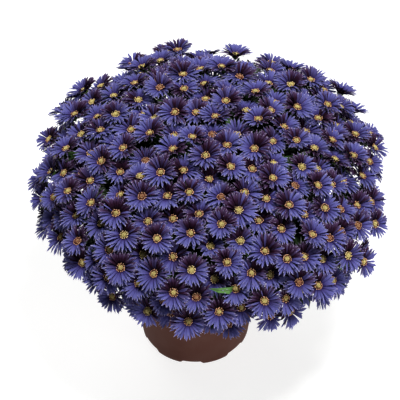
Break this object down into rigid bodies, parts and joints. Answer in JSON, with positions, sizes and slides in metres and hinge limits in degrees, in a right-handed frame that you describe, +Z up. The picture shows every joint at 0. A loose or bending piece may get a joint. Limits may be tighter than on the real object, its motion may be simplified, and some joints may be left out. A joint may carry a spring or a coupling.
{
  "type": "potted aster",
  "caption": "Potted New York aster: a dome of violet-blue daisy blooms with yellow discs on leafy stems that grow from soil in a tapered brown nursery pot",
  "frame": {"origin": "the middle of the pot's underside, on the surface that the pot stands on", "axes": "+Z up along the pot's axis, -Y towards the front of the plant, +X to its right"},
  "size_m": [0.3527, 0.3609, 0.3167],
  "materials": {
    "pot": "satin",
    "soil": "matte",
    "stem": "matte",
    "blooms": "matte"
  },
  "bodies": {
    "root": {"pot": "pot", "soil": "soil", "stem_01": "stem", "stem_02": "stem", "stem_03": "stem", "stem_04": "stem", "stem_05": "stem", "stem_06": "stem", "stem_07": "stem", "stem_08": "stem", "stem_09": "stem", "stem_10": "stem", "stem_11": "stem", "stem_12": "stem", "stem_13": "stem", "stem_14": "stem", "blooms_01": "blooms", "blooms_02": "blooms", "blooms_03": "blooms", "blooms_04": "blooms", "blooms_05": "blooms", "blooms_06": "blooms", "blooms_07": "blooms", "blooms_08": "blooms", "blooms_09": "blooms", "blooms_10": "blooms", "blooms_11": "blooms", "blooms_12": "blooms", "blooms_13": "blooms", "blooms_14": "blooms", "blooms_15": "blooms", "blooms_16": "blooms", "blooms_17": "blooms", "blooms_18": "blooms", "blooms_19": "blooms", "blooms_20": "blooms", "blooms_21": "blooms", "blooms_22": "blooms", "blooms_23": "blooms", "blooms_24": "blooms", "blooms_25": "blooms", "blooms_26": "blooms", "blooms_27": "blooms", "blooms_28": "blooms", "blooms_29": "blooms", "blooms_30": "blooms", "blooms_31": "blooms", "blooms_32": "blooms", "blooms_33": "blooms", "blooms_34": "blooms", "blooms_35": "blooms", "blooms_36": "blooms", "blooms_37": "blooms", "blooms_38": "blooms", "blooms_39": "blooms", "blooms_40": "blooms", "blooms_41": "blooms", "blooms_42": "blooms"}
  },
  "joints": []
}
